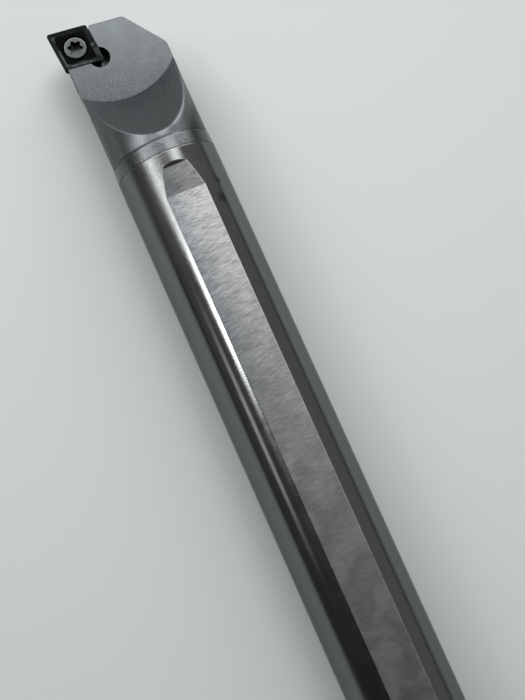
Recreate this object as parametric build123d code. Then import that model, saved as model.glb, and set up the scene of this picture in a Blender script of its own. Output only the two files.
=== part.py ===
from build123d import *
import math
import os

# Right-hand indexable boring bar: a steel head brazed on a cemented carbide shank, with one
# 80 degree positive insert held in a pocket by a countersunk clamp screw.
# All sizes are in millimetres and degrees. The origin is the centre of the shank's rear face,
# +X runs along the axis to the cutting nose, +Y is the side that cuts and +Z faces the rake.

# Whole tool
overall_length = 180.0        # rear face to the nose of the insert
shank_diameter = 16.0         # of the shank and of the front of the head
nose_overhang = 1.0           # nose of the insert beyond the shank's radius

# Shank
rear_chamfer = 0.6
seam_turn = 52.5              # seam of the round surface, from the underside, beside both flats
flat_depth = 0.6              # each clamping flat, below the round surface
flat_to_joint = 6.6           # end of the full-depth flat to the brazed joint
ramp_length = 4.25            # slope that rises from the flat towards the joint
ramp_rise = 0.38
ramp_end = 0.45               # length of the short steep end of the slope

# Insert
insert_circle = 6.35          # diameter of the inscribed circle
insert_thickness = 2.38
nose_angle = 80.0
nose_radius = 0.4
relief_angle = 7.0
lead_angle = 5.0              # side cutting edge to the bar's axis
insert_hole = 2.8
land_width = 0.14             # flat rim along the cutting edges
breaker_fall = 0.60           # width of the slope from the rim to the sunk middle of the top
breaker_depth = 0.16

# Clamp screw
screw_diameter = 2.5
screw_length = 5.0
screw_head = 3.5
screw_rim = 0.35              # straight edge of the head above its cone
screw_edge = 0.12             # broken edge at the top of the head
screw_cone = 60.0             # full angle of the cone
screw_sink = 0.18             # top of the head below the insert's top
screw_point = 0.3             # chamfer at the tip
recess_reach = 1.17           # centre of the head to the tips of the six lobes
recess_waist = 0.83           # centre of the head to the hollows between the lobes
recess_hollow = 0.36          # radius of those hollows
recess_round = 0.15           # radius of the corners of the lobes
recess_depth = 0.85
recess_turn = 10.0            # first lobe from +X

# Head
head_length = 26.6            # brazed joint to the nose
neck_step = 0.2               # neck below the shank, on the radius
neck_cone = 2.15              # brazed joint to the neck, along the cone and its front edge
cone_front = 0.15             # length of the cone's steep front edge
front_length = 10.0           # from the nose back to the end of the wider front
flare_length = 3.0            # from the wider front down to the neck
swell_radius = 7.0            # round swell under the insert's side edge
swell_length = 14.0           # from the insert's middle back into the neck
front_inset = 0.3             # head inside the insert's front edge
side_inset = 0.12             # head inside the insert's side edge
support_bevel = 0.9           # corner of the head under the nose
front_width = 12.2            # across the bar, nose to the start of the long bevel
bevel_angle = 37.0            # long bevel to the bar's axis
bevel_round = 0.9             # corner between the front face and the long bevel
side_round = 2.4              # corner between the long bevel and the side
pocket_break = 0.55           # broken corner between the pocket and the front face
underside_bevel = 2.4         # lower front corner, back from the nose
collar_length = 0.87          # whole neck left between the cone and the top of the scoop
scoop_radius = 11.8           # of the wall's foot, on the rake face
scoop_shift = 0.6             # middle of the scoop, towards the cutting side
scoop_angle = 39.3            # wall to the rake face
corner_bore = 3.3             # diameter of the relief bore at the pocket's inner corner
corner_bore_shift = 0.9       # from the pocket's corner towards the insert's middle
corner_bore_extra = 0.35      # below the pocket's floor

# Clearances
seat_clearance = 0.02         # insert to the pocket's walls
cone_clearance = 0.02         # screw's head to the insert, on the radius
thread_clearance = 0.03       # screw to its threaded hole, on the radius
side_clearance = 0.02         # plan outline to the side of the head
margin = 1.0                  # how far a cutter runs past what it cuts

shank_radius = shank_diameter / 2
neck_radius = shank_radius - neck_step
nose_reach = shank_radius + nose_overhang
shank_length = overall_length - head_length
inradius = insert_circle / 2
half_angle = math.radians(nose_angle / 2)
relief_slope = math.tan(math.radians(relief_angle))
cone_slope = math.tan(math.radians(screw_cone / 2))
insert_turn = lead_angle + nose_angle / 2
nose_turn = math.radians(insert_turn)
nose_setback = (inradius - nose_radius) / math.sin(half_angle)
insert_x = overall_length - nose_radius - nose_setback * math.cos(nose_turn)
insert_y = nose_reach - nose_radius - nose_setback * math.sin(nose_turn)

# The scooped wall is a cone about an upright axis; its top just leaves the collar whole.
scoop_run = 1 / math.tan(math.radians(scoop_angle))
scoop_x = shank_length + neck_cone + collar_length + neck_radius * scoop_run + scoop_radius

# The insert is drawn about the origin with its nose on +X, then set in its place.
insert_place = Pos(insert_x, insert_y, 0) * Rot(0, 0, insert_turn)
FROM_BASE = (Align.CENTER, Align.CENTER, Align.MIN)


def crossing(side, front):
    """Where lines parallel to the side and front edges cross, at these distances from the middle."""
    return Vector((side + front) / 2 / math.sin(half_angle), (side - front) / 2 / math.cos(half_angle))


def four_corners(low, high, z):
    """Four-sided face between lines at two distances from the insert's middle, at height z."""
    pairs = [(high, high), (high, low), (low, low), (low, high)]
    corners = [crossing(side, front) for side, front in pairs]
    return Pos(0, 0, z) * make_face(Polyline(*corners, close=True))


def rhombus(distance, z):
    """The insert's outline with its edges at this distance from the middle."""
    return four_corners(-distance, distance, z)


def side_profile(points):
    """Face in the XZ plane through points given as (x, z)."""
    return make_face(Polyline(*[(x, 0, z) for x, z in points], close=True))


def turned_profile(points):
    """Solid turned about Z from points given as (radius, z)."""
    return revolve(side_profile(points), Axis.Z)


def clamping_flat():
    """Cutter for the upper clamping flat, the slope at its end and the slope's steep end."""
    floor = shank_radius - flat_depth
    flat_end = shank_length - flat_to_joint
    ramp_top = floor + ramp_rise
    steep = (shank_radius - ramp_top) / ramp_end
    top = shank_radius + margin
    profile = side_profile(
        [
            (-margin, floor),
            (flat_end, floor),
            (flat_end + ramp_length, ramp_top),
            (flat_end + ramp_length + (top - ramp_top) / steep, top),
            (-margin, top),
        ]
    )
    return extrude(profile, amount=shank_radius, dir=(0, 1, 0), both=True)


def carbide_shank():
    """Ground round shank with two opposite clamping flats."""
    turned = Rot(180, 90, 0) * Rot(0, 0, seam_turn)
    bar = turned * Cylinder(shank_radius, shank_length, align=FROM_BASE)
    bar = chamfer(bar.edges().sort_by(Axis.X)[0], rear_chamfer)
    upper_flat = clamping_flat()
    return bar - upper_flat - mirror(upper_flat, about=Plane.XY)


def head_blank():
    """Turned head: brazed face, cone with its steep front edge, neck and the slightly wider front."""
    neck_end = overall_length - front_length - flare_length
    profile = side_profile(
        [
            (shank_length, 0),
            (shank_length, -shank_radius),
            (shank_length + neck_cone - cone_front, -(neck_radius + shank_radius) / 2),
            (shank_length + neck_cone, -neck_radius),
            (neck_end, -neck_radius),
            (neck_end + flare_length, -shank_radius),
            (overall_length, -shank_radius),
            (overall_length, 0),
        ]
    )
    return revolve(profile, Axis.X)


def flank_swell():
    """Round swell that backs the insert's side edge and dies out in the neck."""
    backward = Vector(-math.cos(half_angle), math.sin(half_angle))
    axis_distance = inradius - side_inset - swell_radius
    beside_middle = Vector(math.sin(half_angle), math.cos(half_angle)) * axis_distance
    start = beside_middle - backward * insert_circle
    swell = Cylinder(swell_radius, insert_circle + swell_length, align=FROM_BASE)
    return insert_place * Plane(origin=start, z_dir=backward) * swell


def head_outline():
    """Plan outline of the head: front face, long bevel, side and the corner under the nose."""
    front_line = Vector(-math.cos(half_angle), -math.sin(half_angle))
    corner = crossing(inradius - side_inset, inradius - front_inset)
    under_nose = corner + front_line * support_bevel
    front_start = (insert_place * Pos(*under_nose)).position
    clear_side = (insert_place * Pos(*(under_nose + Vector(0, shank_diameter)))).position
    front_slope = math.tan(math.radians(90 - lead_angle - nose_angle))
    apex_y = nose_reach - front_width
    apex_x = front_start.X - (front_start.Y - apex_y) * front_slope
    side_y = -(shank_radius + side_clearance)
    side_x = apex_x - (apex_y - side_y) / math.tan(math.radians(bevel_angle))
    rear_x = shank_length - margin
    outline = make_face(
        Polyline(
            (front_start.X, front_start.Y),
            (apex_x, apex_y),
            (side_x, side_y),
            (rear_x, side_y),
            (rear_x, clear_side.Y),
            (clear_side.X, clear_side.Y),
            close=True,
        )
    )
    apex = outline.vertices().sort_by_distance((apex_x, apex_y, 0))[0]
    outline = fillet(apex, bevel_round)
    side = outline.vertices().sort_by_distance((side_x, side_y, 0))[0]
    return fillet(side, side_round)


def lower_front_cutter():
    """Cutter for the bevel at the lower front corner of the head."""
    low = -shank_radius - margin
    profile = side_profile(
        [
            (overall_length - underside_bevel - margin, low),
            (overall_length + margin, low),
            (overall_length + margin, low + underside_bevel + 2 * margin),
        ]
    )
    return extrude(profile, amount=shank_diameter, dir=(0, 1, 0), both=True)


def scoop():
    """Cutter above the rake face, with the conical wall behind it."""
    height = shank_radius + margin
    cone = Cone(scoop_radius, scoop_radius + height * scoop_run, height, align=FROM_BASE)
    return Pos(scoop_x, scoop_shift, 0) * cone


def insert_pocket():
    """Cutter for the pocket, with two walls that lean like the insert's flanks."""
    wall = inradius + seat_clearance
    open_side = 2 * insert_circle
    floor = four_corners(-(wall - insert_thickness * relief_slope), open_side, -insert_thickness)
    mouth = four_corners(-(wall + margin * relief_slope), open_side, margin)
    return insert_place * loft([floor, mouth])


def corner_relief():
    """Blind bore that clears the insert's inner corner."""
    depth = insert_thickness + corner_bore_extra
    middle = crossing(-inradius, -inradius).X + corner_bore_shift
    bore = Cylinder(corner_bore / 2, depth + margin, align=FROM_BASE)
    return insert_place * Pos(middle, 0, -depth) * bore


def pocket_corner_cutter():
    """Cutter that breaks the corner between the pocket's wall and the front face."""
    wall = -(inradius + seat_clearance)
    front = inradius - front_inset
    triangle = make_face(
        Polyline(
            crossing(wall - pocket_break, front + pocket_break / 2),
            crossing(wall + pocket_break, front + pocket_break / 2),
            crossing(wall + pocket_break, front - pocket_break),
            crossing(wall, front - pocket_break),
            close=True,
        )
    )
    return insert_place * extrude(triangle, amount=-insert_thickness, both=True)


def threaded_hole():
    """Hole for the clamp screw, from the pocket's floor out through the underside."""
    hole = Cylinder(screw_diameter / 2 + thread_clearance, 2 * shank_diameter)
    return insert_place * hole


def steel_head():
    """Head with its rake face, scooped wall, insert pocket and screw hole."""
    turned = head_blank() + flank_swell()
    plan = extrude(head_outline(), amount=shank_diameter, both=True)
    shaped = (turned & plan) - scoop() - lower_front_cutter()
    return shaped - insert_pocket() - corner_relief() - pocket_corner_cutter() - threaded_hole()


def insert_blank():
    """Insert with rounded corners and leaning flanks."""
    top = rhombus(inradius, 0)
    bottom = rhombus(inradius - insert_thickness * relief_slope, -insert_thickness)
    top = fillet(top.vertices(), nose_radius)
    bottom = fillet(bottom.vertices(), nose_radius)
    return loft([bottom, top])


def chip_breaker():
    """Cutter that sinks the middle of the insert's top, with a slope inside its land."""
    fall = breaker_fall / breaker_depth
    low = inradius - land_width - breaker_fall
    above = land_width / fall / 2
    return loft([rhombus(low, -breaker_depth), rhombus(low + fall * (breaker_depth + above), above)])


def screw_seat():
    """Cutter for the countersunk hole in the insert."""
    seat_z = -(screw_sink + screw_rim)
    seat_radius = screw_head / 2 + cone_clearance
    hole_radius = insert_hole / 2
    hole_z = seat_z - (seat_radius - hole_radius) / cone_slope
    return turned_profile(
        [
            (0, margin),
            (seat_radius + (margin - seat_z) * cone_slope, margin),
            (hole_radius, hole_z),
            (hole_radius, -insert_thickness - margin),
            (0, -insert_thickness - margin),
        ]
    )


def cutting_insert():
    """Rhombic insert with a chip breaker and a countersunk hole."""
    return insert_place * (insert_blank() - chip_breaker() - screw_seat())


def six_lobe_recess():
    """Cutter for the driver recess in the screw's head."""
    hollow_centre = recess_waist + recess_hollow
    star = Circle(recess_reach) - PolarLocations(hollow_centre, 6, start_angle=30) * Circle(recess_hollow)
    star = fillet(star.vertices(), recess_round)
    return Pos(0, 0, -screw_sink) * extrude(star, amount=-recess_depth)


def clamp_screw():
    """Countersunk screw; its thread is drawn as a plain cylinder of the outer diameter."""
    head_radius = screw_head / 2
    body_radius = screw_diameter / 2
    top = -screw_sink
    seat_z = top - screw_rim
    tip = top - screw_length
    solid = turned_profile(
        [
            (0, top),
            (head_radius - screw_edge, top),
            (head_radius, top - screw_edge),
            (head_radius, seat_z),
            (body_radius, seat_z - (head_radius - body_radius) / cone_slope),
            (body_radius, tip + screw_point),
            (body_radius - screw_point, tip),
            (0, tip),
        ]
    )
    return Pos(insert_x, insert_y, 0) * Rot(0, 0, recess_turn) * (solid - six_lobe_recess())


nodes = {
    "carbide_shank": carbide_shank(),
    "steel_head": steel_head(),
    "cutting_insert": cutting_insert(),
    "clamp_screw": clamp_screw(),
}

os.makedirs("parts", exist_ok=True)
for name, solid in nodes.items():
    solid.label = name
    export_step(solid, f"parts/{name}.step")
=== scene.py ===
import math

import bmesh
import bpy
from bpy.props import FloatProperty, FloatVectorProperty, PointerProperty
from bpy.types import Operator, Panel, PropertyGroup
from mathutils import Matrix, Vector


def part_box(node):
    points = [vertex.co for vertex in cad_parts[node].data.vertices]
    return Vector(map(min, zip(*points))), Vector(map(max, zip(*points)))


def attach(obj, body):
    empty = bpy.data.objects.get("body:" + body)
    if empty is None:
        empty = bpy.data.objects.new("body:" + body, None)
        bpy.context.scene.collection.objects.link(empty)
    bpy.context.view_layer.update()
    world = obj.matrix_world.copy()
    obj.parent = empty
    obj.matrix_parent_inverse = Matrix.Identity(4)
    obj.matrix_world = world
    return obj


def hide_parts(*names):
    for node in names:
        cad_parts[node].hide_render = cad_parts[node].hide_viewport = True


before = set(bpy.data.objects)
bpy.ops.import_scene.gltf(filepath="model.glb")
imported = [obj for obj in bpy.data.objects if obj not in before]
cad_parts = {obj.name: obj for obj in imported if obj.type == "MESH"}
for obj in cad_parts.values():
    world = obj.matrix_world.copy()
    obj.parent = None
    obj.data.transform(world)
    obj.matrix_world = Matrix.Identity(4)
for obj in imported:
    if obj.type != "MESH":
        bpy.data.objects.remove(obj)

bl_info = {
    "name": "Indexable Boring Bar",
    "version": (1, 0, 0),
    "blender": (4, 5, 0),
    "location": "3D View > Sidebar > Boring Bar",
    "description": "Finishes the shank, head, insert and screw of a boring bar and sets its stage",
    "category": "Object",
}


# ---- Sizes and colours that a user would change ----------------------------

# Options that several settings share.
COLOUR = {"subtype": "COLOR", "min": 0, "max": 1}
SHARE = {"subtype": "FACTOR", "min": 0, "max": 1}
LENGTH = {"unit": "LENGTH", "min": 0}
ANGLE = {"unit": "ROTATION"}


class BoringBarShank(PropertyGroup):
    """Finish of the ground carbide shank."""

    flat_colour: FloatVectorProperty(
        name="Flats",
        description="Colour of the ground clamping flats",
        default=(0.27, 0.275, 0.27),
        **COLOUR,
    )
    round_colour: FloatVectorProperty(
        name="Round",
        description="Colour of the finely ground round surface",
        default=(0.168, 0.174, 0.172),
        **COLOUR,
    )
    round_roughness: FloatProperty(
        name="Round Roughness",
        description="Roughness of the ground round surface",
        default=0.13,
        **SHARE,
    )
    flat_roughness: FloatProperty(
        name="Flat Roughness",
        description="Roughness of the clamping flats",
        default=0.34,
        **SHARE,
    )
    stain_tint: FloatVectorProperty(
        name="Stain Tint",
        description="Tint of the stain along one side of the flats, near the head",
        size=4,
        default=(0.74, 0.80, 0.86, 1.0),
        **COLOUR,
    )
    crown: FloatProperty(
        name="Crown",
        description="How fast the flats lean outwards away from their middle, per metre",
        default=9.0,
    )
    # Painted highlight along the flats' right edge.
    edge_highlight_colour: FloatVectorProperty(
        name="Edge",
        description="Colour of the bright edge along the flats",
        default=(0.5, 0.51, 0.51),
        **COLOUR,
    )
    edge_radius: FloatProperty(
        name="Edge Radius",
        description="Rounding of the edges between the flats and the round",
        default=0.0003,
        **LENGTH,
    )


class BoringBarHead(PropertyGroup):
    """Finish of the plated steel head."""

    colour: FloatVectorProperty(
        name="Plating",
        description="Colour of the matte plating",
        default=(0.078, 0.086, 0.089),
        **COLOUR,
    )
    roughness: FloatProperty(
        name="Roughness",
        description="Roughness of the blasted surface",
        default=0.4,
        **SHARE,
    )
    # Painted highlight on top of the neck below the scoop.
    neck_highlight_colour: FloatVectorProperty(
        name="Worn",
        description="Colour of the plating where the round below the scoop is worn",
        default=(0.2, 0.21, 0.217),
        **COLOUR,
    )
    brazed_colour: FloatVectorProperty(
        name="Brazed Band",
        description="Colour of the cleaned steel beside the brazed joint",
        default=(0.125, 0.131, 0.134),
        **COLOUR,
    )
    edge_radius: FloatProperty(
        name="Edge Radius",
        description="Rounding of the head's edges",
        default=0.00015,
        **LENGTH,
    )
    rim_radius: FloatProperty(
        name="Rim Radius",
        description="How much rounder the scoop's rim is on the tool's right side",
        default=0.0008,
        **LENGTH,
    )


class BoringBarInsert(PropertyGroup):
    """Shape and finish of the coated insert."""

    colour: FloatVectorProperty(
        name="Coating",
        description="Colour of the insert's coating",
        default=(0.0018, 0.0024, 0.0024),
        **COLOUR,
    )
    # Rubbed coating, lighter as painted highlight.
    rub_highlight_colour: FloatVectorProperty(
        name="Rubbed Coating",
        description="Colour of the coating where chips have rubbed it",
        default=(0.095, 0.108, 0.108),
        **COLOUR,
    )
    roughness: FloatProperty(
        name="Roughness",
        description="Roughness of the insert's coating",
        default=0.75,
        **SHARE,
    )
    inscribed_circle: FloatProperty(
        name="Inscribed Circle",
        description="Diameter of the circle inside the insert's edges",
        default=0.00635,
        **LENGTH,
    )
    nose_angle: FloatProperty(
        name="Nose Angle",
        description="Angle between the two cutting edges",
        default=math.radians(80),
        **ANGLE,
    )
    nose_radius: FloatProperty(
        name="Nose Radius",
        description="Rounding of the insert's corners",
        default=0.0004,
        **LENGTH,
    )
    relief_angle: FloatProperty(
        name="Relief Angle",
        description="How far the flanks lean inwards",
        default=math.radians(7),
        **ANGLE,
    )
    turn: FloatProperty(
        name="Turn",
        description="Direction of the nose from the bar's axis",
        default=math.radians(45),
        **ANGLE,
    )
    hole: FloatProperty(
        name="Hole",
        description="Diameter of the hole below the screw's head",
        default=0.0028,
        **LENGTH,
    )
    land: FloatProperty(
        name="Land",
        description="Width of the flat rim along the cutting edges",
        default=0.00014,
        **LENGTH,
    )
    breaker_width: FloatProperty(
        name="Chip Breaker Width",
        description="Width of the slope from the land to the sunk middle",
        default=0.0006,
        **LENGTH,
    )
    breaker_depth: FloatProperty(
        name="Chip Breaker Depth",
        description="Depth of the sunk middle",
        default=0.00016,
        **LENGTH,
    )
    hone: FloatProperty(
        name="Hone",
        description="Rounding of the cutting edges",
        default=0.00003,
        **LENGTH,
    )


class BoringBarScrew(PropertyGroup):
    """Shape and finish of the clamp screw."""

    colour: FloatVectorProperty(
        name="Steel",
        description="Colour of the screw's steel",
        default=(0.066, 0.07, 0.07),
        **COLOUR,
    )
    roughness: FloatProperty(
        name="Roughness",
        description="Roughness of the screw",
        default=0.36,
        **SHARE,
    )
    rim: FloatProperty(
        name="Rim",
        description="Height of the head's straight rim",
        default=0.00035,
        **LENGTH,
    )
    cone_angle: FloatProperty(
        name="Cone Angle",
        description="Full angle of the cone under the head",
        default=math.radians(60),
        **ANGLE,
    )
    thread: FloatProperty(
        name="Thread",
        description="Outer diameter of the thread",
        default=0.0025,
        **LENGTH,
    )
    pitch: FloatProperty(
        name="Pitch",
        description="Rise of the thread in one turn",
        default=0.00045,
        min=0.0001,
        unit="LENGTH",
    )
    lobe_reach: FloatProperty(
        name="Lobe Reach",
        description="Middle of the screw to the tips of the recess's six lobes",
        default=0.0012,
        **LENGTH,
    )
    lobe_waist: FloatProperty(
        name="Lobe Waist",
        description="Middle of the screw to the hollows between the lobes",
        default=0.00088,
        **LENGTH,
    )
    recess_depth: FloatProperty(
        name="Recess Depth",
        description="Depth of the driver recess",
        default=0.00085,
        **LENGTH,
    )
    recess_turn: FloatProperty(
        name="Recess Turn",
        description="Direction of the first lobe from the bar's axis",
        default=math.radians(10),
        **ANGLE,
    )


class BoringBarStage(PropertyGroup):
    """Floor, light and camera."""

    floor_colour: FloatVectorProperty(
        name="Floor",
        description="Colour of the floor round the tool",
        default=(0.55, 0.582, 0.578),
        **COLOUR,
    )
    far_colour: FloatVectorProperty(
        name="Far Floor",
        description="Colour of the floor and backdrop far from the tool",
        default=(0.09, 0.095, 0.096),
        **COLOUR,
    )
    light: FloatProperty(
        name="Soft Light",
        description="Strength of the studio's soft light",
        default=1.0,
        min=0,
    )
    camera_place: FloatVectorProperty(
        name="Camera Place",
        description="Where the camera stands",
        subtype="TRANSLATION",
        unit="LENGTH",
        default=(0.100418, 0.026769, 0.177712),
    )
    camera_turn: FloatVectorProperty(
        name="Camera Turn",
        description="How the camera is turned",
        subtype="EULER",
        unit="ROTATION",
        default=(math.radians(9.8276), math.radians(-5.6288), math.radians(-114.1081)),
    )
    lens: FloatProperty(
        name="Lens",
        description="Focal length of the camera in millimetres",
        default=61.71,
        min=1,
    )


# ---- Node helpers ----------------------------------------------------------

NUMBER = "NodeSocketFloat"
VECTOR = "NodeSocketVector"
# Vector Math operations whose result is a number.
MEASURES = {"DISTANCE", "DOT_PRODUCT", "LENGTH"}
# Places of a Mix node's colour sockets.
MIX_FACTOR, MIX_FIRST, MIX_SECOND, MIX_RESULT = 0, 6, 7, 2
COLUMN_WIDTH, ROW_HEIGHT = 220, 260


def give(tree, sockets, sources):
    """Feeds inputs by name or number: a socket is linked, and another value is set."""
    for name, source in sources.items():
        if isinstance(source, bpy.types.NodeSocket):
            tree.links.new(source, sockets[name])
        else:
            sockets[name].default_value = source


def put(tree, kind, inputs=None, **settings):
    """Adds a node with its settings, and feeds its inputs."""
    node = tree.nodes.new(kind)
    for name, value in settings.items():
        setattr(node, name, value)
    give(tree, node.inputs, inputs or {})
    return node


def worked(tree, operation, *sources, clamp=False):
    """Math on sockets or plain numbers, and its result's socket."""
    node = put(
        tree, "ShaderNodeMath", dict(enumerate(sources)), operation=operation, use_clamp=clamp
    )
    return node.outputs["Value"]


def product(tree, first, *others):
    """Masks multiplied with each other, one after another."""
    for other in others:
        first = worked(tree, "MULTIPLY", first, other)
    return first


def measured(tree, operation, *sources):
    """Vector Math on sockets or plain vectors, and its result's socket."""
    node = put(tree, "ShaderNodeVectorMath", dict(enumerate(sources)), operation=operation)
    return node.outputs["Value" if operation in MEASURES else "Vector"]


def split(tree, vector):
    """Sockets of a vector's X, Y and Z, in this order."""
    return put(tree, "ShaderNodeSeparateXYZ", {"Vector": vector}).outputs


def noise(tree, vector, **inputs):
    """Noise over a vector, and its value's socket."""
    dimensions = "4D" if "W" in inputs else "3D"
    node = put(
        tree, "ShaderNodeTexNoise", {"Vector": vector, **inputs}, noise_dimensions=dimensions
    )
    return node.outputs["Fac"]


def between(tree, value, low, high, to_low=0.0, to_high=1.0, smooth=True):
    """Maps a value from one span to another, held at its ends, and returns the result's socket."""
    spans = {"From Min": low, "From Max": high, "To Min": to_low, "To Max": to_high}
    node = put(
        tree,
        "ShaderNodeMapRange",
        {"Value": value, **spans},
        interpolation_type="SMOOTHSTEP" if smooth else "LINEAR",
    )
    return node.outputs["Result"]


def mixed(tree, factor, first, second, blend="MIX"):
    """Mix of two colours, each of them a socket or a colour, and the mixed colour's socket."""
    sources = {MIX_FACTOR: factor, MIX_FIRST: first, MIX_SECOND: second}
    node = put(tree, "ShaderNodeMix", sources, data_type="RGBA", blend_type=blend)
    return node.outputs[MIX_RESULT]


def bump(tree, height, distance, strength, normal=None):
    """Bump with its distance in metres, and its normal's socket."""
    inputs = {"Height": height, "Distance": distance, "Strength": strength}
    if normal is not None:
        inputs["Normal"] = normal
    return put(tree, "ShaderNodeBump", inputs).outputs["Normal"]


def grey(value):
    """Opaque colour with three equal channels."""
    return (value, value, value, 1.0)


def shaded(colour, factor=1.0):
    """Opaque colour, made lighter or darker by a factor."""
    return (*[min(1.0, channel * factor) for channel in colour], 1.0)


def lay_out(tree):
    """Places nodes in columns, by the most links between each of them and the tree's end."""
    steps = {node.name: 0 for node in tree.nodes}
    settled = False
    while not settled:
        settled = True
        for link in tree.links:
            step = steps[link.to_node.name] + 1
            if steps[link.from_node.name] < step:
                steps[link.from_node.name] = step
                settled = False
    filled = {}
    for node in tree.nodes:
        column = steps[node.name]
        row = filled.get(column, 0)
        node.location = (-COLUMN_WIDTH * column, -ROW_HEIGHT * row)
        filled[column] = row + 1


def complete(tree, sockets, sources):
    """Feeds the inputs of a tree's last node and lays the tree out."""
    give(tree, sockets, sources)
    lay_out(tree)


def new_group(name, inputs, outputs):
    """Starts a shader node group; returns its tree, its inputs' sockets and its end's sockets."""
    tree = bpy.data.node_groups.new(name, "ShaderNodeTree")
    for label, kind, value in inputs:
        socket = tree.interface.new_socket(label, in_out="INPUT", socket_type=kind)
        if value is not None:
            socket.default_value = value
    for label, kind in outputs:
        tree.interface.new_socket(label, in_out="OUTPUT", socket_type=kind)
    return tree, put(tree, "NodeGroupInput").outputs, put(tree, "NodeGroupOutput").inputs


def place_group(tree, name, inputs):
    """Places a shader node group in a material, feeds it, and returns its outputs in order."""
    return put(tree, "ShaderNodeGroup", inputs, node_tree=bpy.data.node_groups[name]).outputs


def new_material(name):
    """Starts a material; gives it, its tree, its shader's inputs and its Object coordinates."""
    material = bpy.data.materials.new(name)
    material.use_nodes = True
    tree = material.node_tree
    tree.nodes.clear()
    shader = put(tree, "ShaderNodeBsdfPrincipled")
    put(tree, "ShaderNodeOutputMaterial", {"Surface": shader.outputs["BSDF"]})
    return material, tree, shader.inputs, put(tree, "ShaderNodeTexCoord").outputs["Object"]


# ---- Shared effects --------------------------------------------------------

SCRATCH_TILTS = (math.radians(-16), math.radians(9))
SCRATCH_SEED_STEP = 7.0
CLOUD_SCALE = 260.0
MOTTLE_TO_GRAIN = 0.12        # scale of the broad mottle against that of the grain
EDGE_TURN = (0.999, 0.985)    # how far a rounded normal has turned: no edge, full edge
BEVEL_SAMPLES = 8


def make_cross_grinding():
    """Short fine scratches that run across the tool, some of them tilted, with broad clouds."""
    tree, given, made = new_group(
        "Cross Grinding",
        [("Vector", VECTOR, None), ("Lines", NUMBER, 2500.0), ("Length", NUMBER, 120.0)],
        [("Fine", NUMBER), ("Broad", NUMBER)],
    )
    scales = {"X": given["Lines"], "Y": given["Length"], "Z": given["Length"]}
    stretch = put(tree, "ShaderNodeCombineXYZ", scales).outputs["Vector"]
    layers = []
    for step, tilt in enumerate(SCRATCH_TILTS):
        turned = put(
            tree,
            "ShaderNodeVectorRotate",
            {"Vector": given["Vector"], "Angle": tilt},
            rotation_type="Z_AXIS",
        ).outputs["Vector"]
        scaled = measured(tree, "MULTIPLY", turned, stretch)
        seed = SCRATCH_SEED_STEP * step
        layers.append(noise(tree, scaled, Scale=1.0, Detail=4.0, Roughness=0.6, W=seed))
    crossed = worked(tree, "ADD", *layers)
    clouds = noise(
        tree, given["Vector"], Scale=CLOUD_SCALE, Detail=4.0, Roughness=0.6, Distortion=0.4
    )
    complete(tree, made, {"Fine": worked(tree, "MULTIPLY", crossed, 0.5), "Broad": clouds})


def make_blasted_grain():
    """Fine even grain of a blasted and plated surface, with a faint broad mottle."""
    tree, given, made = new_group(
        "Blasted Grain",
        [("Vector", VECTOR, None), ("Grains", NUMBER, 5000.0)],
        [("Grain", NUMBER), ("Mottle", NUMBER)],
    )
    spot, grains = given["Vector"], given["Grains"]
    coarse = worked(tree, "MULTIPLY", grains, MOTTLE_TO_GRAIN)
    grain = noise(tree, spot, Scale=grains, Detail=3.0, Roughness=0.6)
    mottle = noise(tree, spot, Scale=coarse, Detail=4.0, Roughness=0.7)
    complete(tree, made, {"Grain": grain, "Mottle": mottle})


def make_broken_edge():
    """Rounded normal along sharp edges, and a mask of the edges."""
    tree, given, made = new_group(
        "Broken Edge",
        [("Radius", NUMBER, 0.0002)],
        [("Normal", VECTOR), ("Edge", NUMBER)],
    )
    bevel = put(tree, "ShaderNodeBevel", {"Radius": given["Radius"]}, samples=BEVEL_SAMPLES)
    rounded = bevel.outputs["Normal"]
    facing = put(tree, "ShaderNodeNewGeometry").outputs["True Normal"]
    turned = measured(tree, "DOT_PRODUCT", rounded, facing)
    complete(tree, made, {"Normal": rounded, "Edge": between(tree, turned, *EDGE_TURN)})


# ---- Finishes --------------------------------------------------------------

# A pair is where a mask is 0 and where it is 1: in metres along (X), across (Y) and above (Z) the
# tool, as the upright share of a normal, or as a share of a noise.
WIDE_NOISE = (0.3, 0.7)
NOISE = (0.36, 0.64)
# Grains in a metre, and how deep the surface's relief is.
CARBIDE_GRAINS, PLATING_GRAINS, COATING_GRAINS, SCREW_GRAINS = 4800.0, 3600.0, 12000.0, 9000.0
PIT_DEPTH, RUT_DEPTH, GRAIN_DEPTH, FINE_GRAIN_DEPTH = 0.000018, 0.000016, 0.000013, 0.000006

FLAT_UPRIGHT = (0.985, 0.992)
FLAT_HEIGHT = (0.00782, 0.00776)
RAMP_UPRIGHT = (0.998, 0.994)
CROWN_X = (0.108, 0.126)
CONTRAST_X = (0.085, 0.142)
STAIN_X = (0.105, 0.128)
STAIN_Y = (-0.0006, 0.0032)
DULL_X = (0.132, 0.118)
BRIGHT_EDGE_X = (0.1519, 0.1514)
BRIGHT_EDGE_Y = (-0.001, -0.002)
PITTED_X = (0.13, 0.148)
PITTED_Y = (-0.0025, 0.0005)
SCRATCHES = {"Lines": 3600.0, "Length": 620.0}
# Dark smudges on the round: middle and radius.
SMUDGES = (((0.1441, -0.0047, 0.0065), 0.0013), ((0.1469, -0.0053, 0.0060), 0.0008))
SMUDGE_CORE = 0.2             # share of the radius that is fully dark
SMUDGE_STRENGTH = 0.7


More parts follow.
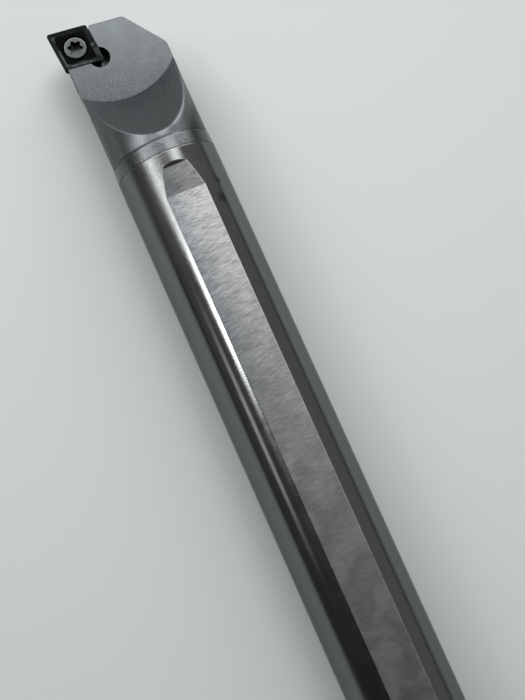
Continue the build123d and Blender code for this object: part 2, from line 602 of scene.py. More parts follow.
def make_ground_carbide(settings):
    """Ground carbide: dark fine-ground round, and duller flats with short cross scratches."""
    material, tree, shader, spot = new_material("Ground Carbide")
    flat_colour, round_colour = settings.flat_colour, settings.round_colour
    x, y, z = split(tree, spot)
    facing = put(tree, "ShaderNodeNewGeometry").outputs["True Normal"]
    upright = worked(tree, "ABSOLUTE", split(tree, facing)["Z"])
    level = between(tree, upright, *FLAT_UPRIGHT)
    low = between(tree, worked(tree, "ABSOLUTE", z), *FLAT_HEIGHT)
    flat = product(tree, level, low)
    fine, broad = place_group(tree, "Cross Grinding", {"Vector": spot, **SCRATCHES})
    grain, _ = place_group(tree, "Blasted Grain", {"Vector": spot, "Grains": CARBIDE_GRAINS})
    streaks = between(tree, fine, *NOISE)
    clouds = between(tree, broad, *NOISE)
    speckle = between(tree, grain, *WIDE_NOISE)

    # The round: fine speckle and a few smudges.
    round_tone = mixed(tree, speckle, shaded(round_colour, 0.88), shaded(round_colour, 1.12))
    for middle, radius in SMUDGES:
        away = measured(tree, "DISTANCE", spot, middle)
        smudge = between(tree, away, radius, SMUDGE_CORE * radius)
        smudge = worked(tree, "MULTIPLY", smudge, SMUDGE_STRENGTH)
        round_tone = mixed(tree, smudge, round_tone, shaded(round_colour, 0.3))

    # The flats: scratches that stand out more near the head, clouds, a stain, a duller rear end,
    # and painted shade on the sloped ramp.
    contrast = between(tree, x, *CONTRAST_X, 0.2, 0.62)
    swing = between(tree, streaks, 0.0, 1.0, -1.0, 1.0, smooth=False)
    lightness = worked(tree, "ADD", product(tree, swing, contrast), 1.0)
    lined = mixed(tree, 1.0, shaded(flat_colour), lightness, "MULTIPLY")
    clouded = mixed(tree, clouds, shaded(flat_colour, 0.9), shaded(flat_colour, 1.1))
    flat_tone = mixed(tree, 0.5, lined, clouded)
    stain = product(tree, between(tree, y, *STAIN_Y), between(tree, x, *STAIN_X))
    # Painted shade: the tilted ramp is darkened because of its slope.
    ramp = between(tree, upright, *RAMP_UPRIGHT)
    dull = between(tree, x, *DULL_X)
    for mask, tint in ((stain, settings.stain_tint), (ramp, grey(0.6)), (dull, grey(0.9))):
        flat_tone = mixed(tree, mask, flat_tone, tint, "MULTIPLY")
    colour = mixed(tree, flat, round_tone, flat_tone)

    # Painted highlight: a lighter colour along the bevelled edge beside the flats, on the tool's
    # right side.
    rounded, edge = place_group(tree, "Broken Edge", {"Radius": settings.edge_radius})
    right = product(tree, between(tree, y, *BRIGHT_EDGE_Y), between(tree, x, *BRIGHT_EDGE_X))
    bright = product(tree, edge, right)
    colour = mixed(tree, bright, colour, shaded(settings.edge_highlight_colour))

    rough = between(
        tree, flat, 0.0, 1.0, settings.round_roughness, settings.flat_roughness, smooth=False
    )
    uneven = worked(tree, "MULTIPLY_ADD", clouds, 0.05, -0.025)

    # The flats are slightly crowned near the head.
    lean = worked(tree, "MULTIPLY", y, settings.crown)
    crowned = product(tree, between(tree, x, *CROWN_X), flat)
    crown = put(tree, "ShaderNodeCombineXYZ", {"Y": product(tree, lean, crowned)})
    leaning = measured(tree, "ADD", rounded, crown.outputs["Vector"])
    normal = measured(tree, "NORMALIZE", leaning)

    # Pits near the head, and ruts along the scratches.
    depth_along = between(tree, x, *PITTED_X, 0.3, 2.4)
    depth = product(tree, depth_along, between(tree, y, *PITTED_Y, 0.3, 1.0))
    pits = product(tree, grain, depth)
    normal = bump(tree, pits, PIT_DEPTH, 0.6, normal)
    deep = worked(tree, "MULTIPLY_ADD", flat, 0.7, 0.3)
    normal = bump(tree, product(tree, fine, deep), RUT_DEPTH, 0.7, normal)

    finish = {
        "Base Color": colour,
        "Roughness": worked(tree, "ADD", rough, uneven, clamp=True),
        "Normal": normal,
        "Metallic": 1.0,
        "Specular Tint": grey(0.6),
    }
    complete(tree, shader, finish)
    return material


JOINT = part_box("steel_head")[0].x
NECK_RADIUS = 0.0078
# The scoop's wall is a cone about an upright axis; the rake face cuts it at the scoop's radius.
SCOOP_RADIUS = 0.0118
SCOOP_ANGLE = math.radians(39.3)
SCOOP_END = 0.00302           # joint to the end of the scoop, on top of the neck
SCOOP_MIDDLE = (
    JOINT + SCOOP_END + NECK_RADIUS / math.tan(SCOOP_ANGLE) + SCOOP_RADIUS,
    0.0006,
    0.0,
)
IN_PLAN = (1.0, 1.0, 0.0)
IN_SECTION = (0.0, 1.0, 1.0)
# How near a place is to the scoop's rim, to its foot, and to the neck's round.
RIM = (0.0012, 0.0006)
BY_THE_RIM = (0.0026, 0.0006)
CREASE = (0.0005, 0.0003)
NECK = (0.0003, 0.0001)

RAKE_Z = (0.0002, 0.00005)
RAKE_SIDE_Z = (-0.0004, -0.0002)
ABOVE_RAKE_Z = (0.0004, 0.001)
ON_TOP_Z = (0.001, 0.003)
RAKE_PAINTED_LIGHT = (1.0, -0.24, 0.0)   # direction in which the painted light on the rake face grows stronger
RAKE_PAINTED_LIGHT_SPAN = (0.162, 0.178)
BARE_X = (JOINT + 0.0021, JOINT + 0.0019)
GROOVE_X, GROOVE_WIDTH = JOINT + 0.0022, 0.0003
# Where the painted highlight lies on top of the neck.
HIGHLIGHT_START_X = (JOINT + 0.0022, JOINT + 0.0026)
HIGHLIGHT_END_X = (JOINT + 0.0060, JOINT + 0.0035)
HIGHLIGHT_RIGHT_Y = (-0.0025, 0.0005)
HIGHLIGHT_LEFT_Y = (0.0065, 0.004)
PALE_RIGHT_Y = (-0.001, 0.001)
PALE_LEFT_Y = (0.0076, 0.0064)
GLOW_Y = (-0.001, -0.0035)
SHADED_Y = (-0.0035, -0.0055)
SOFT_RIM_Y = (0.001, -0.004)


def scoop_masks(tree, spot, height):
    """Masks of the head's scoop: its soft rim, all beside the rim, its foot, and the neck."""
    away = measured(tree, "DISTANCE", measured(tree, "MULTIPLY", spot, IN_PLAN), SCOOP_MIDDLE)
    wall = worked(tree, "MULTIPLY_ADD", height, -1 / math.tan(SCOOP_ANGLE), -SCOOP_RADIUS)
    beyond = worked(tree, "ADD", away, wall)
    off_wall = worked(tree, "ABSOLUTE", worked(tree, "MULTIPLY", beyond, math.sin(SCOOP_ANGLE)))
    radius = measured(tree, "LENGTH", measured(tree, "MULTIPLY", spot, IN_SECTION))
    off_round = worked(tree, "ABSOLUTE", worked(tree, "SUBTRACT", NECK_RADIUS, radius))
    off_rim = worked(tree, "MAXIMUM", off_wall, off_round)
    off_foot = worked(tree, "MAXIMUM", off_wall, worked(tree, "ABSOLUTE", height))
    rim = product(tree, between(tree, off_rim, *RIM), between(tree, height, *ABOVE_RAKE_Z))
    return (
        rim,
        between(tree, off_rim, *BY_THE_RIM),
        between(tree, off_foot, *CREASE),
        between(tree, off_round, *NECK),
    )


def make_matte_plating(settings):
    """Blasted steel under matte plating, soft along the scoop's rim, bright where it was brazed."""
    material, tree, shader, spot = new_material("Matte Plating")
    plating = settings.colour
    x, y, z = split(tree, spot)
    grain, mottle = place_group(tree, "Blasted Grain", {"Vector": spot, "Grains": PLATING_GRAINS})
    rim, by_the_rim, crease, neck = scoop_masks(tree, spot, z)

    # Speckle and clouds, and painted light on the rake face: painted shade over all of it, and a
    # painted lighter front.
    rake = between(tree, z, *RAKE_Z)
    contrast = between(tree, rake, 0.0, 1.0, 0.25, 0.5)
    swing = between(tree, grain, 0.38, 0.62, -1.0, 1.0)
    lightness = worked(tree, "ADD", product(tree, swing, contrast), 1.0)
    tone = mixed(tree, 1.0, shaded(plating), lightness, "MULTIPLY")
    clouds = between(tree, mottle, 0.35, 0.65, 0.0, 0.6)
    tone = mixed(tree, clouds, tone, shaded(plating, 0.85))
    tone = mixed(tree, rake, tone, grey(0.8), "MULTIPLY")
    rake_painted_light = measured(tree, "DOT_PRODUCT", spot, RAKE_PAINTED_LIGHT)
    rake_painted_light = between(tree, rake_painted_light, *RAKE_PAINTED_LIGHT_SPAN, smooth=False)
    tone = mixed(tree, product(tree, rake_painted_light, rake), tone, shaded(plating, 1.5))

    # The brazed band, cleaned in blotches, with painted shade in the groove in front of it.
    bare = between(tree, x, *BARE_X)
    blotched = between(tree, mottle, 0.34, 0.6, 0.35, 1.0)
    tone = mixed(tree, product(tree, bare, blotched), tone, shaded(settings.brazed_colour))
    off_groove = worked(tree, "ABSOLUTE", worked(tree, "SUBTRACT", x, GROOVE_X))
    groove = between(tree, off_groove, GROOVE_WIDTH, 0.2 * GROOVE_WIDTH)
    tone = mixed(tree, worked(tree, "MULTIPLY", groove, 0.5), tone, shaded(plating, 0.3))

    # Painted highlight on top of the neck, in a lighter plating colour: blotched in the middle,
    # paler to the left, and glowing by the rim on the right side.
    start = between(tree, x, *HIGHLIGHT_START_X)
    neck_highlight = product(
        tree,
        blotched,
        between(tree, x, *HIGHLIGHT_END_X),
        start,
        between(tree, y, *HIGHLIGHT_RIGHT_Y),
        between(tree, y, *HIGHLIGHT_LEFT_Y),
    )
    pale = product(
        tree,
        between(tree, y, *PALE_RIGHT_Y),
        between(tree, y, *PALE_LEFT_Y, 0.0, 0.4),
        start,
    )
    glow = product(tree, by_the_rim, between(tree, y, *GLOW_Y))
    on_top = between(tree, z, *ON_TOP_Z)
    neck_highlight = worked(tree, "MAXIMUM", neck_highlight, pale)
    neck_highlight = worked(tree, "MAXIMUM", neck_highlight, worked(tree, "MULTIPLY", glow, 0.5))
    neck_highlight = product(tree, neck_highlight, neck, on_top)
    tone = mixed(tree, neck_highlight, tone, shaded(settings.neck_highlight_colour))

    # Painted shade on the neck's right side, and on the edge round the rake face.
    side = between(tree, y, *SHADED_Y, 0.0, 0.8)
    side = worked(tree, "SUBTRACT", product(tree, side, on_top, neck), glow, clamp=True)
    tone = mixed(tree, side, tone, grey(0.62), "MULTIPLY")
    soft_side = between(tree, y, *SOFT_RIM_Y)
    extra = product(tree, rim, worked(tree, "MULTIPLY", soft_side, settings.rim_radius))
    radius = product(
        tree,
        worked(tree, "ADD", extra, settings.edge_radius),
        worked(tree, "SUBTRACT", 1.0, crease),
    )
    rounded, edge = place_group(tree, "Broken Edge", {"Radius": radius})
    outline = product(tree, between(tree, z, *RAKE_SIDE_Z), rake, edge)
    tone = mixed(tree, outline, tone, grey(0.3), "MULTIPLY")

    rough = between(
        tree, mottle, *WIDE_NOISE, settings.roughness - 0.04, settings.roughness + 0.05
    )
    fine = worked(tree, "MULTIPLY", bare, 0.17)
    coarse = between(tree, bare, 0.0, 1.0, 1.0, 3.5)
    finish = {
        "Base Color": tone,
        "Roughness": worked(tree, "SUBTRACT", rough, fine, clamp=True),
        "Normal": bump(tree, product(tree, grain, coarse), GRAIN_DEPTH, 0.6, rounded),
        "Metallic": 1.0,
    }
    complete(tree, shader, finish)
    return material


def make_insert_coating(settings):
    """Black coating, rubbed in patches on the chip breaker's slopes and along the honed edges,
    which are smoother there and lighter as painted highlight.
    """
    material, tree, shader, spot = new_material("Insert Coating")
    grain, mottle = place_group(tree, "Blasted Grain", {"Vector": spot, "Grains": COATING_GRAINS})
    speckle = between(tree, grain, *WIDE_NOISE)
    black = mixed(tree, speckle, shaded(settings.colour, 0.7), shaded(settings.colour, 1.4))
    rub_and_highlight = put(tree, "ShaderNodeAttribute", attribute_name="rub_and_highlight").outputs["Fac"]
    # Rubbed patches: smoother coating, and a lighter colour as painted highlight.
    rubbed_highlight = product(tree, rub_and_highlight, between(tree, mottle, 0.35, 0.6, 0.6, 1.0))
    finish = {
        "Base Color": mixed(tree, rubbed_highlight, black, shaded(settings.rub_highlight_colour)),
        "Roughness": between(tree, rub_and_highlight, 0.0, 0.6, settings.roughness, 0.32),
        "Normal": bump(tree, grain, FINE_GRAIN_DEPTH, 0.5),
        "Metallic": 0.0,
        "Specular IOR Level": 0.025,
    }
    complete(tree, shader, finish)
    return material


def make_screw_steel(settings):
    """Dark turned steel of the clamp screw, with painted highlight on its edges and painted shade
    in its recess.
    """
    material, tree, shader, spot = new_material("Screw Steel")
    steel = settings.colour
    low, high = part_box("clamp_screw")
    middle = (low.x + high.x) / 2
    x, y, z = split(tree, spot)
    grain, mottle = place_group(tree, "Blasted Grain", {"Vector": spot, "Grains": SCREW_GRAINS})
    speckle = between(tree, grain, *WIDE_NOISE)
    tone = mixed(tree, speckle, shaded(steel, 0.75), shaded(steel, 1.25))
    # Painted shade in the recess, darkest towards +X.
    sunk = between(tree, z, high.z - 0.0001, high.z - 0.0005)
    recess_shade_side = between(tree, x, middle - 0.0003, middle + 0.0002, 0.4, 1.0)
    tone = mixed(tree, product(tree, sunk, recess_shade_side), tone, shaded(steel, 0.15))
    # Painted highlight on the head's rounded edge and round the recess's mouth.
    rub_and_highlight = put(tree, "ShaderNodeAttribute", attribute_name="rub_and_highlight").outputs["Fac"]
    tone = mixed(tree, worked(tree, "MULTIPLY", rub_and_highlight, 0.6), tone, shaded(steel, 2.2))
    rough = between(
        tree, mottle, *WIDE_NOISE, settings.roughness - 0.05, settings.roughness + 0.08
    )
    finish = {
        "Base Color": tone,
        "Roughness": rough,
        "Normal": bump(tree, grain, FINE_GRAIN_DEPTH, 0.4),
        "Metallic": 1.0,
    }
    complete(tree, shader, finish)
    return material


def finish_node(name, material):
    """Gives a CAD node its material and leaves its shape as it is."""
    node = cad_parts[name]
    node.data.materials.clear()
    node.data.materials.append(material)
    for face in node.data.polygons:
        face.material_index = 0


# ---- Stage -----------------------------------------------------------------

FLOOR_SIZE = 6.0
TO_POOL_OF_LIGHT = (-0.21, 0.02, 0.0)
POOL_RADIUS = 0.42


def make_floor_material(settings):
    """Pale matte floor with a painted pool of light round the tool, darkening away from it into the
    backdrop's tone.
    """
    material, tree, shader, spot = new_material("Pale Floor")
    away = measured(tree, "LENGTH", measured(tree, "ADD", spot, TO_POOL_OF_LIGHT))
    fade = between(tree, away, 0.0, POOL_RADIUS)
    tone = mixed(tree, fade, shaded(settings.floor_colour), shaded(settings.far_colour))
    complete(tree, shader, {"Base Color": tone, "Roughness": 0.75, "Specular IOR Level": 0.3})
    return material


# Lights of the studio, seen from the tool: name, angle across the tool from overhead with its soft
# edge, angle along the tool from overhead with its soft edge, and brightness. Later ones lie on
# top. The right lamp grows brighter along the tool.
STUDIO_LIGHTS = (
    ("side wash", (34.0, 88.0), 8.0, (-70.0, 70.0), 10.0, 0.32),
    ("thin strip", (-69.5, -62.5), 1.0, (-0.5, 7.5), 3.2, 1.6),
    ("right lamp", (9.0, 29.0), 7.5, (-60.0, 70.0), 12.0, None),
    ("left window", (-52.0, -20.0), 5.5, (13.5, 70.0), 4.0, 2.9),
    ("window core", (-46.0, -36.0), 3.0, (6.8, 12.5), 3.0, 15.0),
    ("far panel", (-60.0, 76.0), 5.0, (25.0, 64.0), 6.0, 4.0),
)
LAMP_GROWTH = (-14.0, 17.0)
LAMP_POWER = 4.3
LAMP_DIM, LAMP_FULL = 0.165, 5.3
# The room behind the lights: its tone to the rear, to the front, and at both ends.
REAR_TONE = (0.044, 0.048, 0.041, 1.0)
FRONT_TONE = (0.21, 0.222, 0.205, 1.0)
END_TONE = 0.26
REAR_TO_FRONT = (-16.0, 18.0)
ENDS = (24.0, 46.0)
HORIZON = (0.04, 0.16)
TO_DEGREES = 180 / math.pi


def span(tree, value, limits, soft):
    """Mask that is 1 between two angles and falls to 0 over a soft edge on each side."""
    low, high = limits
    rise = between(tree, value, low - soft, low + soft)
    return product(tree, rise, between(tree, value, high + soft, high - soft))


def make_world(settings):
    """Studio seen by direction: even horizon, dark sides, and soft lights overhead."""
    world = bpy.data.worlds.new("Soft Studio")
    bpy.context.scene.world = world
    world.use_nodes = True
    tree = world.node_tree
    tree.nodes.clear()
    ray = split(tree, put(tree, "ShaderNodeTexCoord").outputs["Generated"])
    roll = worked(tree, "ARCTAN2", worked(tree, "MULTIPLY", ray["Y"], -1.0), ray["Z"])
    across = worked(tree, "MULTIPLY", roll, TO_DEGREES)
    along = worked(tree, "MULTIPLY", worked(tree, "ARCSINE", ray["X"]), TO_DEGREES)

    colour = mixed(tree, between(tree, along, *REAR_TO_FRONT), REAR_TONE, FRONT_TONE)
    ends = between(tree, worked(tree, "ABSOLUTE", along), *ENDS)
    colour = mixed(tree, ends, colour, grey(END_TONE))
    above = between(tree, ray["Z"], *HORIZON)
    colour = mixed(tree, above, shaded(settings.far_colour), colour)

    growth = between(tree, along, *LAMP_GROWTH, smooth=False)
    steep = worked(tree, "POWER", growth, LAMP_POWER)
    lamp = mixed(tree, steep, grey(LAMP_DIM), grey(LAMP_FULL))
    for name, sides, side_soft, reach, reach_soft, brightness in STUDIO_LIGHTS:
        across_light = span(tree, across, sides, side_soft)
        along_light = span(tree, along, reach, reach_soft)
        light = product(tree, across_light, along_light)
        light.node.label = name
        level = lamp if brightness is None else grey(brightness)
        colour = mixed(tree, light, colour, level)
    sky = {"Color": colour, "Strength": settings.light}
    background = put(tree, "ShaderNodeBackground", sky).outputs["Background"]
    put(tree, "ShaderNodeOutputWorld", {"Surface": background})
    lay_out(tree)


# ---- Shapes ----------------------------------------------------------------

BODIES = {"cutting_insert": "bar", "clamp_screw": "screw"}
MERGE_DISTANCE = 1e-7


def set_ring(piece, middle, places, rub_and_highlight):
    """Moves the selected ring's points to their places, in order of direction, and marks them."""
    mesh = bmesh.from_edit_mesh(piece.data)
    marks = mesh.verts.layers.float.get("rub_and_highlight") or mesh.verts.layers.float.new("rub_and_highlight")
    ring = [point for point in mesh.verts if point.select]
    ring.sort(key=lambda point: math.atan2(point.co.y - middle.y, point.co.x - middle.x))
    for point, place in zip(ring, places):
        point.co = place
        point[marks] = rub_and_highlight(math.atan2(place[1] - middle.y, place[0] - middle.x))
    bmesh.update_edit_mesh(piece.data)


def lofted(name, middle, count, rings, smooth_angle):
    """Piece made of one circle that is extruded from ring to ring, with its ends closed or merged.

    Each ring is two functions of direction: one gives radius and height, one how far it is rubbed
    and lit by painted highlight.
    """
    turns = [2 * math.pi * (step + 0.5) / count - math.pi for step in range(count)]
    bpy.ops.object.select_all(action="DESELECT")
    bpy.ops.mesh.primitive_circle_add(vertices=count, radius=0.001, location=middle)
    piece = bpy.context.object
    piece.name = name
    bpy.ops.object.transform_apply(location=True, rotation=True, scale=True)
    bpy.ops.object.mode_set(mode="EDIT")
    bpy.ops.mesh.select_all(action="SELECT")
    for step, (outline, rub_and_highlight) in enumerate(rings):
        if step:
            bpy.ops.mesh.extrude_edges_move()
        places = []
        for turn in turns:
            radius, height = outline(turn)
            x = middle.x + radius * math.cos(turn)
            y = middle.y + radius * math.sin(turn)
            places.append((x, y, height))
        set_ring(piece, middle, places, rub_and_highlight)
    bpy.ops.mesh.select_all(action="SELECT")
    bpy.ops.mesh.remove_doubles(threshold=MERGE_DISTANCE)
    bpy.ops.mesh.fill_holes(sides=0)
    bpy.ops.mesh.normals_make_consistent(inside=False)
    bpy.ops.object.mode_set(mode="OBJECT")
    bpy.ops.object.shade_smooth_by_angle(angle=smooth_angle)
    return piece


def plain(radius, height):
    """Outline of a round ring."""
    return lambda turn: (radius, height)


def even(amount):
    """The same amount of rubbing and painted highlight all round a ring."""
    return lambda turn: amount


def in_patches(marks, start, least):
    """Rubbing and painted highlight that are strongest in a few directions, which are counted from
    a starting direction.
    """

    def share(turn):
        own = math.degrees(turn - start)
        patches = [
            strength * math.exp(-((((own - at + 180) % 360 - 180) / width) ** 4))
            for at, width, strength in marks
        ]
        return max(least, *patches)

    return share


def rhombus_reach(turn, distance, corner, half):
    """Middle to outline, in one direction, of a rhombus with rounded corners."""
    across, up = abs(math.cos(turn)), abs(math.sin(turn))
    sharp = distance / (across * math.sin(half) + up * math.cos(half))
    if sharp * up < corner * math.cos(half):
        arc = (distance - corner) / math.sin(half)
        return arc * across + math.sqrt(max(0.0, corner**2 - (arc * up) ** 2))
    if sharp * across < corner * math.sin(half):
        arc = (distance - corner) / math.cos(half)
        return arc * up + math.sqrt(max(0.0, corner**2 - (arc * across) ** 2))
    return sharp


INSERT_POINTS = 360
INSERT_SMOOTH = math.radians(25)
# The insert's finest sizes, in metres.
SEAT_GAP = 0.00002            # between the screw's head and the countersink
MOUTH_BREAK = 0.00004         # broken edge at the countersink's mouth: its width and its depth
MOUTH_BREAK_DEPTH = 0.00003
HOLE_BREAK = 0.0001           # broken edge at the hole's lower end
BOTTOM_BREAK = 0.00006        # broken edge round the underside
LAND_SOFT = 0.00002           # the land rounds off over this width on each side
LAND_DROP = 0.00001
LAND_CORNER, SLOPE_CORNER, MIDDLE_CORNER = 0.00035, 0.0003, 0.0004
# Steps down the honed edge: share of the hone inwards, share of it downwards, and rubbing with
# painted highlight.
HONED_STEPS = ((0.08, 1.0, 0.2), (0.3, 0.3, 0.25))
# Where chips have rubbed the insert and it has painted highlight: direction from the nose, width in
# degrees, and strength.
RUB_HIGHLIGHT_LAND = ((-166, 13, 0.9), (130, 40, 0.3), (-100, 30, 0.3))
RUB_HIGHLIGHT_SLOPE = ((132, 38, 0.5), (112, 9, 0.8), (160, 6, 0.7), (-143, 4, 0.7), (-166, 12, 0.4))
RUB_HIGHLIGHT_FOOT = ((66, 32, 0.9), (2, 7, 0.8), (138, 18, 0.35), (-145, 6, 0.9), (-166, 10, 0.5))
# Steps down the chip breaker: share of its width, share of its depth, and where and how little
# rubbed and lit by painted highlight.
BREAKER_STEPS = (
    (0.25, 0.3, RUB_HIGHLIGHT_SLOPE, 0.14),
    (0.5, 0.6, RUB_HIGHLIGHT_SLOPE, 0.14),
    (0.8, 0.87, RUB_HIGHLIGHT_FOOT, 0.16),
    (1.0, 1.0, RUB_HIGHLIGHT_FOOT, 0.06),
)


def make_insert(settings, screw):
    """Rhombic insert: honed edges, a narrow land, a chip breaker's slope, a countersunk hole."""
    low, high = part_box("cutting_insert")
    screw_low, screw_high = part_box("clamp_screw")
    middle = (low + high) / 2
    middle.z = 0
    bottom, top = low.z, high.z
    lean = math.tan(settings.relief_angle)
    hone, land = settings.hone, settings.land
    fall, deep = settings.breaker_width, settings.breaker_depth
    floor = top - deep
    cone = math.tan(screw.cone_angle / 2)
    seat = (screw_high.x - screw_low.x) / 2 + SEAT_GAP
    seat_depth = top - (screw_high.z - screw.rim)
    mouth = seat + (seat_depth - deep) * cone
    hole = settings.hole / 2
    hole_top = top - seat_depth - (seat - hole) / cone
    bottom_edge = (top - bottom) * lean

    def edges(inset, height, corner=settings.nose_radius):
        """Outline of a ring along the insert's edges, at a distance inside them."""
        distance = settings.inscribed_circle / 2 - inset
        half = settings.nose_angle / 2
        return lambda turn: (rhombus_reach(turn - settings.turn, distance, corner, half), height)

    def rubbed_highlight(marks, least=0.14):
        """Rubbing and painted highlight in patches, counted from the nose."""
        return in_patches(marks, settings.turn, least)

    rings = [
        (plain(hole + HOLE_BREAK, bottom), even(0)),
        (edges(bottom_edge + BOTTOM_BREAK, bottom), even(0)),
        (edges(bottom_edge, bottom + BOTTOM_BREAK), even(0.1)),
        (edges(2 * hone * lean, top - 2 * hone), even(0.1)),
        *[
            (edges(inward * hone, top - downward * hone), even(rub_and_highlight))
            for inward, downward, rub_and_highlight in HONED_STEPS
        ],
        (edges(hone, top), even(0.14)),
        (edges(land - LAND_SOFT, top, LAND_CORNER), even(0.14)),
        (edges(land + LAND_SOFT, top - LAND_DROP, SLOPE_CORNER), rubbed_highlight(RUB_HIGHLIGHT_LAND)),
        *[
            (edges(land + along * fall, top - down * deep, SLOPE_CORNER), rubbed_highlight(marks, least))
            for along, down, marks, least in BREAKER_STEPS
        ],
        (edges(land + 1.2 * fall, floor, MIDDLE_CORNER), even(0)),
        (plain(mouth + MOUTH_BREAK, floor), even(0)),
        (plain(mouth, floor - MOUTH_BREAK_DEPTH), even(0)),
        (plain(hole, hole_top), even(0)),
        (plain(hole, bottom + HOLE_BREAK), even(0)),
        (plain(hole + HOLE_BREAK, bottom), even(0)),
    ]
    return lofted("indexable_insert", middle, INSERT_POINTS, rings, INSERT_SMOOTH)


SCREW_POINTS = 144
SCREW_SMOOTH = math.radians(28)
THREAD_STEPS = 14             # rings in one pitch of the thread
THREAD_GROOVE = 0.6           # depth of the thread's groove, against its pitch
THREAD_POINT = 0.0003         # height of the cone at the thread's end
HEAD_EDGE = 0.00012           # rounding of the head's edge
LOBES = 6
LOBE_SQUARENESS = 1.5         # how square the lobes are, against a plain wave
# Rings down the recess: how much wider than its walls, height above the top, and painted highlight.
RECESS_MOUTH = (
    (0.00007, 0.0, 0),
    (0.00003, 0.0, 0.5),
    (0.0, -0.00004, 0.5),
    (-0.00002, -0.0001, 0),
)
# Rings at the foot of the recess: how much wider than its walls, and height above its floor.
RECESS_FOOT = ((-0.00003, 0.00005), (-0.00008, 0.0))
# The drill mark in the floor: radius and height above the floor.
DRILL_MARK = ((0.0004, -0.00005), (0.0, -0.00012))


def make_screw(settings):
    """Countersunk screw: helical thread, cone, and a round-edged head with a six-lobe recess."""
    low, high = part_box("clamp_screw")
    middle = (low + high) / 2
    middle.z = 0
    head = (high.x - low.x) / 2
    body = settings.thread / 2
    top, tip = high.z, low.z
    seat = top - settings.rim
    shoulder = seat - (head - body) / math.tan(settings.cone_angle / 2)
    pitch = settings.pitch
    thread_low = tip + THREAD_POINT
    thread_high = shoulder - 0.5 * pitch
    floor = top - settings.recess_depth
    mean = (settings.lobe_reach + settings.lobe_waist) / 2
    swing = (settings.lobe_reach - settings.lobe_waist) / 2

    def threaded(height, crest=body):
        """Ring of the thread, which climbs one pitch in each turn and runs out below the cone."""
        cut = THREAD_GROOVE * pitch * min(1.0, max(0.0, (thread_high - height) / pitch))

        def outline(turn):
            climb = (height / pitch - turn / (2 * math.pi)) % 1.0
            depth = min(1.0, max(0.0, 1.2 * (1 - abs(2 * climb - 1)) - 0.1))
            return min(crest, body - cut * depth), height

        return outline

    def lobes(grown, height):
        """Ring round the recess, wider than its walls by a length."""

        def outline(turn):
            wave = math.tanh(LOBE_SQUARENESS * math.cos(LOBES * (turn - settings.recess_turn)))
            return mean + grown + swing * wave / math.tanh(LOBE_SQUARENESS), height

        return outline

    rise = thread_high - thread_low
    count = round(rise / pitch * THREAD_STEPS)
    rings = [
        (threaded(tip, body - THREAD_POINT), even(0)),
        (threaded(tip + THREAD_POINT / 2, body - THREAD_POINT / 2), even(0)),
        *[(threaded(thread_low + rise * step / count), even(0)) for step in range(count + 1)],
        (plain(body, shoulder), even(0)),
        (plain(head, seat), even(0.2)),
        (plain(head, top - HEAD_EDGE), even(0.2)),
        (plain(head - 0.3 * HEAD_EDGE, top - 0.3 * HEAD_EDGE), even(0.8)),
        (plain(head - HEAD_EDGE, top), even(0.8)),
        (plain(head - 1.6 * HEAD_EDGE, top), even(0)),
        *[(lobes(grown, top + above), even(rub_and_highlight)) for grown, above, rub_and_highlight in RECESS_MOUTH],
        *[(lobes(grown, floor + above), even(0)) for grown, above in RECESS_FOOT],
        *[(plain(radius, floor + above), even(0)) for radius, above in DRILL_MARK],
    ]
    return lofted("recessed_screw", middle, SCREW_POINTS, rings, SCREW_SMOOTH)


def replace_node(piece, node, material):
    """Gives a finished piece its material and body, and hides the CAD node that it replaces."""
    piece.data.materials.append(material)
    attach(piece, BODIES[node])
    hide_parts(node)


# ---- Operators -------------------------------------------------------------


class BORINGBAR_OT_effects(Operator):
    """Make the grinding, grain and edge effects that the finishes share"""

    bl_idname = "boringbar.effects"
    bl_label = "Shared Effects"

    def execute(self, context):
        make_cross_grinding()
        make_blasted_grain()
        make_broken_edge()
        return {"FINISHED"}


class BORINGBAR_OT_shank(Operator):
    """Finish the ground carbide shank"""

    bl_idname = "boringbar.shank"
    bl_label = "Carbide Shank"

    def execute(self, context):
        finish_node("carbide_shank", make_ground_carbide(context.scene.boringbar_shank))
        return {"FINISHED"}


class BORINGBAR_OT_head(Operator):
    """Finish the plated steel head"""

    bl_idname = "boringbar.head"
    bl_label = "Steel Head"

    def execute(self, context):
        finish_node("steel_head", make_matte_plating(context.scene.boringbar_head))
        return {"FINISHED"}


class BORINGBAR_OT_insert(Operator):
    """Finish the coated insert"""

    bl_idname = "boringbar.insert"
    bl_label = "Cutting Insert"

    def execute(self, context):
        settings = context.scene.boringbar_insert
        piece = make_insert(settings, context.scene.boringbar_screw)
        replace_node(piece, "cutting_insert", make_insert_coating(settings))
        return {"FINISHED"}


class BORINGBAR_OT_screw(Operator):
    """Finish the clamp screw"""

    bl_idname = "boringbar.screw"
    bl_label = "Clamp Screw"

    def execute(self, context):
        settings = context.scene.boringbar_screw
        replace_node(make_screw(settings), "clamp_screw", make_screw_steel(settings))
        return {"FINISHED"}


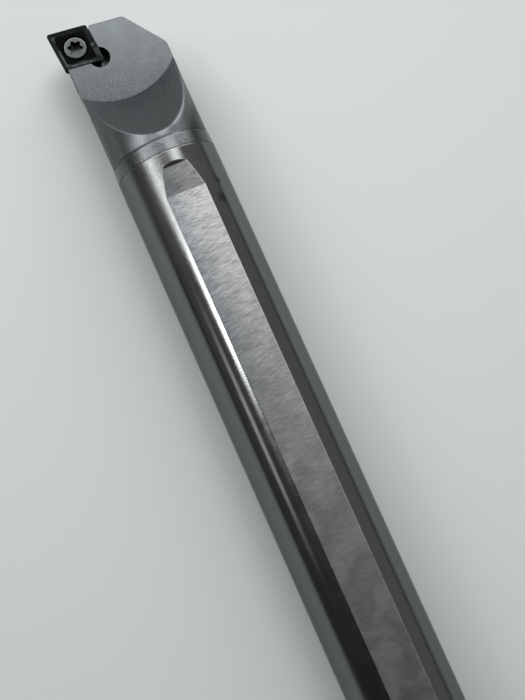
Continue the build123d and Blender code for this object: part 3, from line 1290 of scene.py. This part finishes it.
class BORINGBAR_OT_stage(Operator):
    """Lay the floor, set the soft light and place the camera"""

    bl_idname = "boringbar.stage"
    bl_label = "Stage"

    def execute(self, context):
        settings = context.scene.boringbar_stage
        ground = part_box("steel_head")[0].z
        bpy.ops.object.select_all(action="DESELECT")
        bpy.ops.mesh.primitive_plane_add(size=FLOOR_SIZE, location=(0.1, 0.0, ground))
        floor = context.object
        bpy.ops.object.transform_apply(location=True, rotation=True, scale=True)
        floor.name = "floor"
        floor.data.materials.append(make_floor_material(settings))
        make_world(settings)
        bpy.ops.object.camera_add(location=settings.camera_place, rotation=settings.camera_turn)
        camera = context.object
        camera.name = "camera"
        camera.data.lens = settings.lens
        camera.data.sensor_width = 36.0
        camera.data.clip_start = 0.01
        camera.data.clip_end = 20.0
        context.scene.camera = camera
        context.scene.view_settings.view_transform = "Standard"
        return {"FINISHED"}


class BORINGBAR_PT_tool(Panel):
    """Sidebar panel that lists the tool's pieces and its stage"""

    bl_idname = "BORINGBAR_PT_tool"
    bl_label = "Boring Bar"
    bl_space_type = "VIEW_3D"
    bl_region_type = "UI"
    bl_category = "Boring Bar"

    def draw(self, context):
        for name, _, operators in SECTIONS:
            box = self.layout.box()
            settings = getattr(context.scene, name)
            for prop in settings.bl_rna.properties.keys():
                if prop not in {"rna_type", "name"}:
                    box.prop(settings, prop)
            for operator in operators:
                box.operator(operator.bl_idname)


# Each section of the panel: its settings' name on the scene, their class, and its operators.
SECTIONS = (
    ("boringbar_shank", BoringBarShank, (BORINGBAR_OT_effects, BORINGBAR_OT_shank)),
    ("boringbar_head", BoringBarHead, (BORINGBAR_OT_head,)),
    ("boringbar_insert", BoringBarInsert, (BORINGBAR_OT_insert,)),
    ("boringbar_screw", BoringBarScrew, (BORINGBAR_OT_screw,)),
    ("boringbar_stage", BoringBarStage, (BORINGBAR_OT_stage,)),
)
CLASSES = (
    *[group for _, group, _ in SECTIONS],
    *[operator for _, _, operators in SECTIONS for operator in operators],
    BORINGBAR_PT_tool,
)


def register():
    for kind in CLASSES:
        bpy.utils.register_class(kind)
    for name, group, _ in SECTIONS:
        setattr(bpy.types.Scene, name, PointerProperty(type=group))


def unregister():
    for name, _, _ in SECTIONS:
        delattr(bpy.types.Scene, name)
    for kind in reversed(CLASSES):
        bpy.utils.unregister_class(kind)


def main():
    register()
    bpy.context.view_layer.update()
    bpy.ops.boringbar.effects()
    bpy.ops.boringbar.shank()
    bpy.ops.boringbar.head()
    bpy.ops.boringbar.insert()
    bpy.ops.boringbar.screw()
    bpy.ops.boringbar.stage()


if __name__ == "__main__":
    main()
